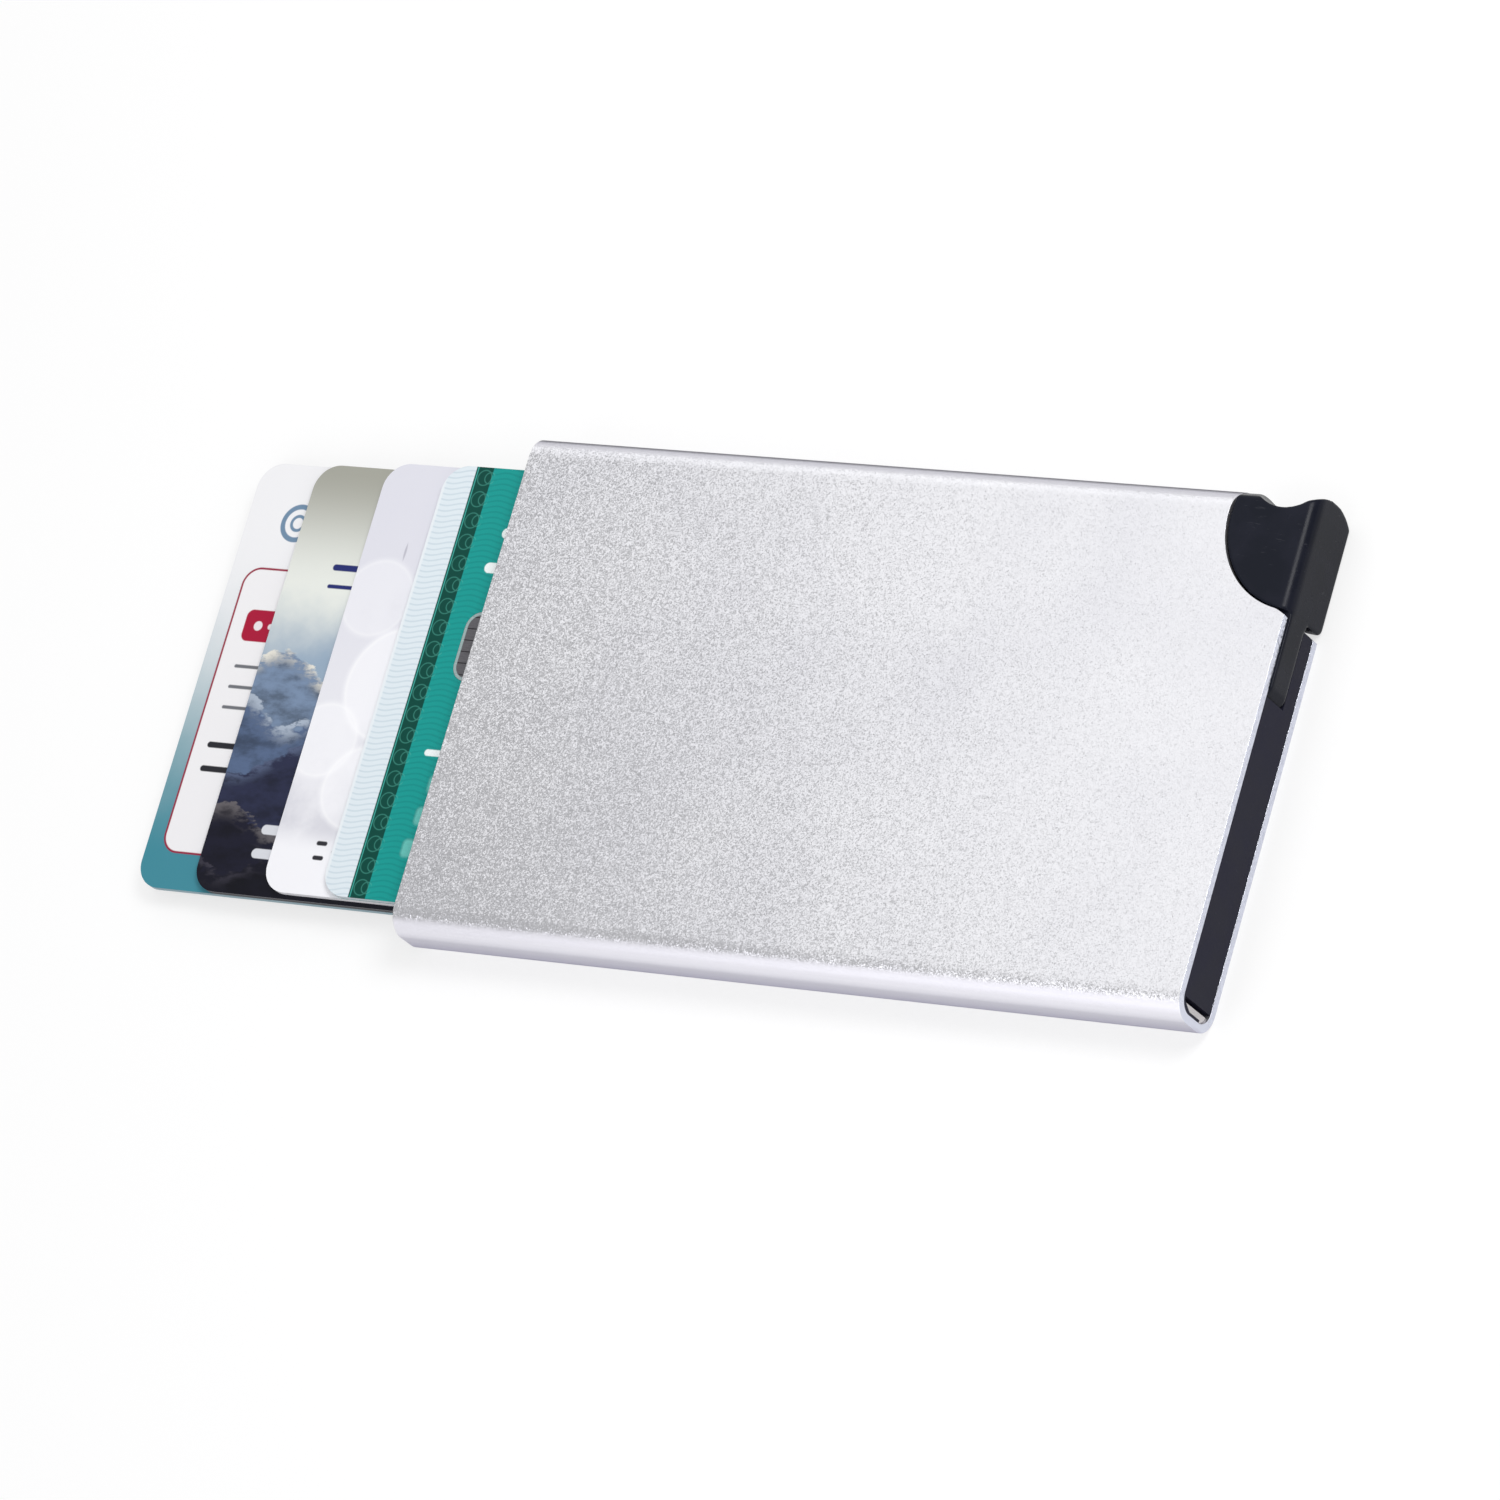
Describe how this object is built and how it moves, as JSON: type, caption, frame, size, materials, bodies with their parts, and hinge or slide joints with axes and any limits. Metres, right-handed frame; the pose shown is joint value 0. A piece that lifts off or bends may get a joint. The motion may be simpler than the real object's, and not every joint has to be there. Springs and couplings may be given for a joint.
{
  "type": "rfid card holder",
  "caption": "Slim aluminium card holder with an open mouth, a thumb lever at one corner of the other end that drives a stepped arm, and plastic cards fanned out of the mouth.",
  "frame": {"origin": "centre of the tube's flat back face, on which the holder lies", "axes": "+X along the tube from the open mouth to the lever end, +Y across the width towards the long edge with the lever, +Z out of the front face"},
  "size_m": [0.1451, 0.062, 0.0084],
  "materials": {
    "anodised_aluminium": "sand-blasted and silver anodised, fine sparkle",
    "cap_plastic": "charcoal, fine satin",
    "lever_plastic": "black, satin",
    "arm_plastic": "dark grey, plain",
    "spring_plastic": "light grey, smooth",
    "pin_steel": "ground",
    "strip_rubber": "black, matt",
    "card_1_print": "laminated print, pale top and teal lower part",
    "card_2_print": "laminated print, khaki grey fading to navy",
    "card_3_print": "laminated print, pale lavender",
    "card_4_print": "laminated print, teal with a pale edge band",
    "magnetic_stripe": "dark brown, smooth",
    "signature_strip": "off-white, matt",
    "contact_plate": "grey plated contact lands"
  },
  "bodies": {
    "holder": {"case_shell": "anodised_aluminium", "end_cap": "cap_plastic", "pivot_pins": "pin_steel", "spring_upper": "spring_plastic", "spring_lower": "spring_plastic", "pads_rear": "strip_rubber", "pads_front": "strip_rubber"},
    "lever": {"lever": "lever_plastic"},
    "push_arm": {"push_arm": "arm_plastic"},
    "card_1": {"card_1": "card_1_print", "card_1_stripe": "magnetic_stripe", "card_1_sign": "signature_strip"},
    "card_2": {"card_2": "card_2_print", "card_2_stripe": "magnetic_stripe"},
    "card_3": {"card_3": "card_3_print", "card_3_stripe": "magnetic_stripe", "card_3_sign": "signature_strip"},
    "card_4": {"card_4": "card_4_print", "card_4_stripe": "magnetic_stripe", "card_4_sign": "signature_strip", "card_4_chip": "contact_plate"}
  },
  "joints": [
    {"name": "card_1_slide", "type": "slide", "parent": "holder", "child": "card_1", "axis": [1, 0, 0], "range_m": [0, 0.04081]},
    {"name": "lever_swing", "type": "hinge", "parent": "holder", "child": "lever", "pos_m": [0.048, 0.0095, 0.0053], "axis": [0, 0, 1], "range_deg": [-60, 0]},
    {"name": "arm_swing", "type": "hinge", "parent": "holder", "child": "push_arm", "pos_m": [0.0375, 0.022, 0.0037], "axis": [0, 0, 1], "range_deg": [0, 60]},
    {"name": "card_2_slide", "type": "slide", "parent": "holder", "child": "card_2", "axis": [1, 0, 0], "range_m": [0, 0.03219]},
    {"name": "card_3_slide", "type": "slide", "parent": "holder", "child": "card_3", "axis": [1, 0, 0], "range_m": [0, 0.0219]},
    {"name": "card_4_slide", "type": "slide", "parent": "holder", "child": "card_4", "axis": [1, 0, 0], "range_m": [0, 0.01298]}
  ],
  "couplings": [
    {"joint": "lever_swing", "follows": "card_1_slide", "rad_per_m": -25.662},
    {"joint": "arm_swing", "follows": "card_1_slide", "rad_per_m": 25.662},
    {"joint": "card_2_slide", "follows": "card_1_slide", "ratio": 0.78872},
    {"joint": "card_3_slide", "follows": "card_1_slide", "ratio": 0.53661},
    {"joint": "card_4_slide", "follows": "card_1_slide", "ratio": 0.31813}
  ]
}
